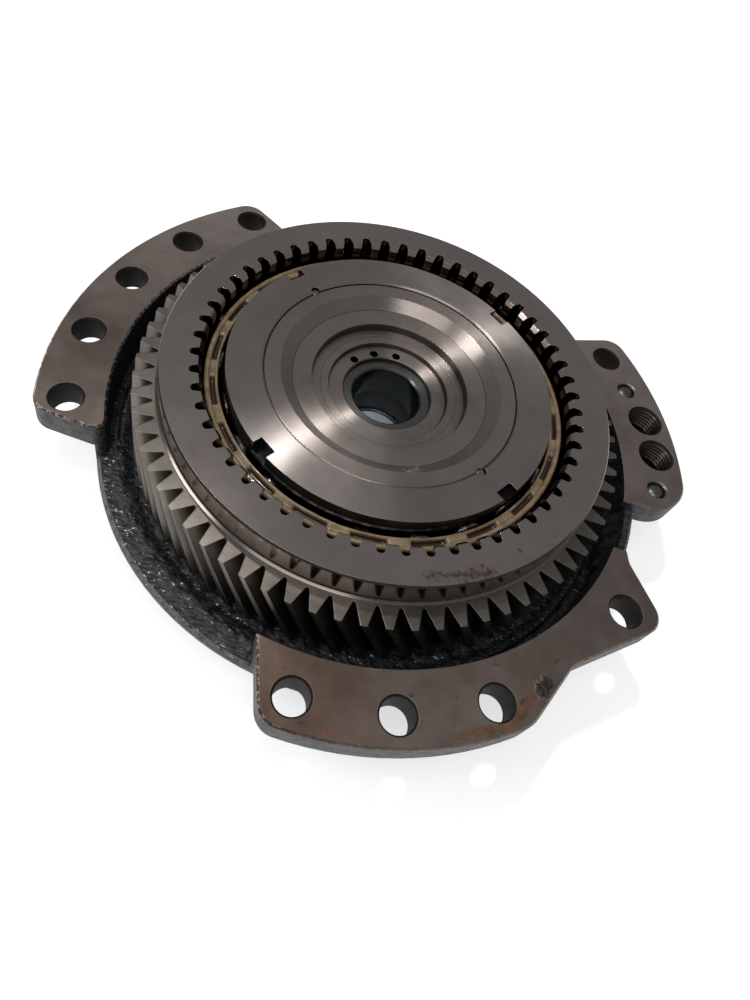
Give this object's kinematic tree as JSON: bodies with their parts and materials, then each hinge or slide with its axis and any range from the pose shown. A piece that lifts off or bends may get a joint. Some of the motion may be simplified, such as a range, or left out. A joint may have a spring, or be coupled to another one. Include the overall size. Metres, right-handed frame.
{
  "type": "planetary gearbox output gear unit",
  "caption": "Helical output gear with an internally toothed coupling ring, turning on a ball bearing around the hub of a cast support with bolting ears.",
  "frame": {"origin": "on the gear axis, in the machined foot of the support hub", "axes": "+Z along the gear axis, out through the lock nut and the coupling ring; the lower bolting ear lies towards -Y"},
  "size_m": [0.1951, 0.1786, 0.048],
  "materials": {
    "casting": "as cast, with milled ear tops and a turned hub",
    "bush": "turned",
    "nut": "ground, satin",
    "pin": "dull",
    "race": "hardened and ground, under black oil",
    "spring_steel": "oiled",
    "gear": "shaved tooth flanks, oiled",
    "ring": "ground, satin",
    "cage": "moulded amber plastic, oiled",
    "ball": "polished"
  },
  "bodies": {
    "support": {"support_casting": "casting", "ear_dowels": "pin", "upper_bush": "bush", "lower_bush": "bush", "lock_nut": "nut", "lock_pins": "pin", "upper_inner_race": "race", "lower_inner_race": "race"},
    "gear": {"transfer_gear": "gear", "coupling_ring": "ring", "outer_race": "race", "snap_ring": "spring_steel"},
    "upper_row": {"upper_cage": "cage", "upper_ball_01": "ball", "upper_ball_02": "ball", "upper_ball_03": "ball", "upper_ball_04": "ball", "upper_ball_05": "ball", "upper_ball_06": "ball", "upper_ball_07": "ball", "upper_ball_08": "ball", "upper_ball_09": "ball", "upper_ball_10": "ball", "upper_ball_11": "ball", "upper_ball_12": "ball", "upper_ball_13": "ball", "upper_ball_14": "ball", "upper_ball_15": "ball", "upper_ball_16": "ball", "upper_ball_17": "ball", "upper_ball_18": "ball", "upper_ball_19": "ball", "upper_ball_20": "ball"},
    "lower_row": {"lower_cage": "cage", "lower_ball_01": "ball", "lower_ball_02": "ball", "lower_ball_03": "ball", "lower_ball_04": "ball", "lower_ball_05": "ball", "lower_ball_06": "ball", "lower_ball_07": "ball", "lower_ball_08": "ball", "lower_ball_09": "ball", "lower_ball_10": "ball", "lower_ball_11": "ball", "lower_ball_12": "ball", "lower_ball_13": "ball", "lower_ball_14": "ball", "lower_ball_15": "ball", "lower_ball_16": "ball", "lower_ball_17": "ball", "lower_ball_18": "ball", "lower_ball_19": "ball", "lower_ball_20": "ball"}
  },
  "joints": [
    {"name": "gear_spin", "type": "hinge", "parent": "support", "child": "gear", "pos_m": [0, 0, 0.0265], "axis": [0, 0, 1], "continuous": true},
    {"name": "upper_row_spin", "type": "hinge", "parent": "support", "child": "upper_row", "pos_m": [0, 0, 0.0332], "axis": [0, 0, 1], "continuous": true},
    {"name": "lower_row_spin", "type": "hinge", "parent": "support", "child": "lower_row", "pos_m": [0, 0, 0.0198], "axis": [0, 0, 1], "continuous": true}
  ],
  "couplings": [
    {"joint": "upper_row_spin", "follows": "gear_spin", "ratio": 0.5475},
    {"joint": "lower_row_spin", "follows": "gear_spin", "ratio": 0.5475}
  ]
}
